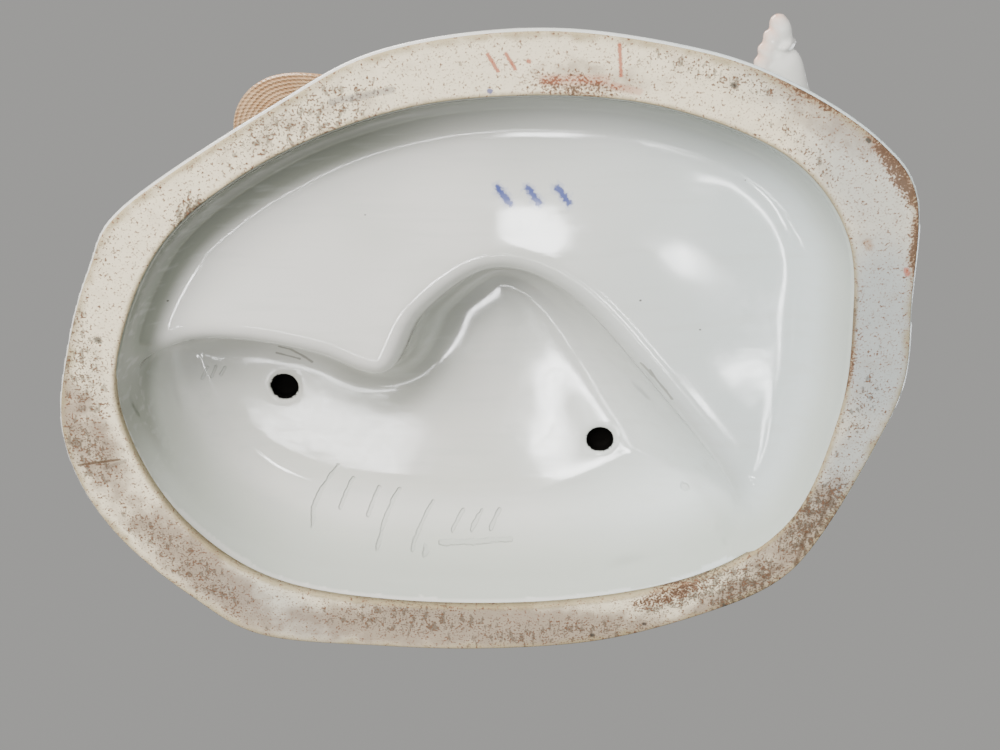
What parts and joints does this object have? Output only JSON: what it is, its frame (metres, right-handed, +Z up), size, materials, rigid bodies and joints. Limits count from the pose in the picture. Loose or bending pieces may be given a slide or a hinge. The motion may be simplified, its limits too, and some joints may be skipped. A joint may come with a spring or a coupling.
{
  "type": "porcelain shepherd group",
  "caption": "Glazed porcelain group of a seated shepherd and shepherdess with a sheep on a hollow oval rocky base.",
  "frame": {"origin": "middle of the foot ring's outline, on the plane the base stands on", "axes": "+Z up, -Y towards the front of the group, +X along the long axis of the base towards the shepherd"},
  "size_m": [0.23, 0.1824, 0.1769],
  "materials": {
    "porcelain": "clear gloss glaze, with enamel colours on the figures",
    "biscuit": "unglazed, worn and grimy foot ring",
    "enamel": "fired enamel colours under gloss"
  },
  "bodies": {
    "root": {"porcelain_group": "porcelain"}
  },
  "joints": []
}
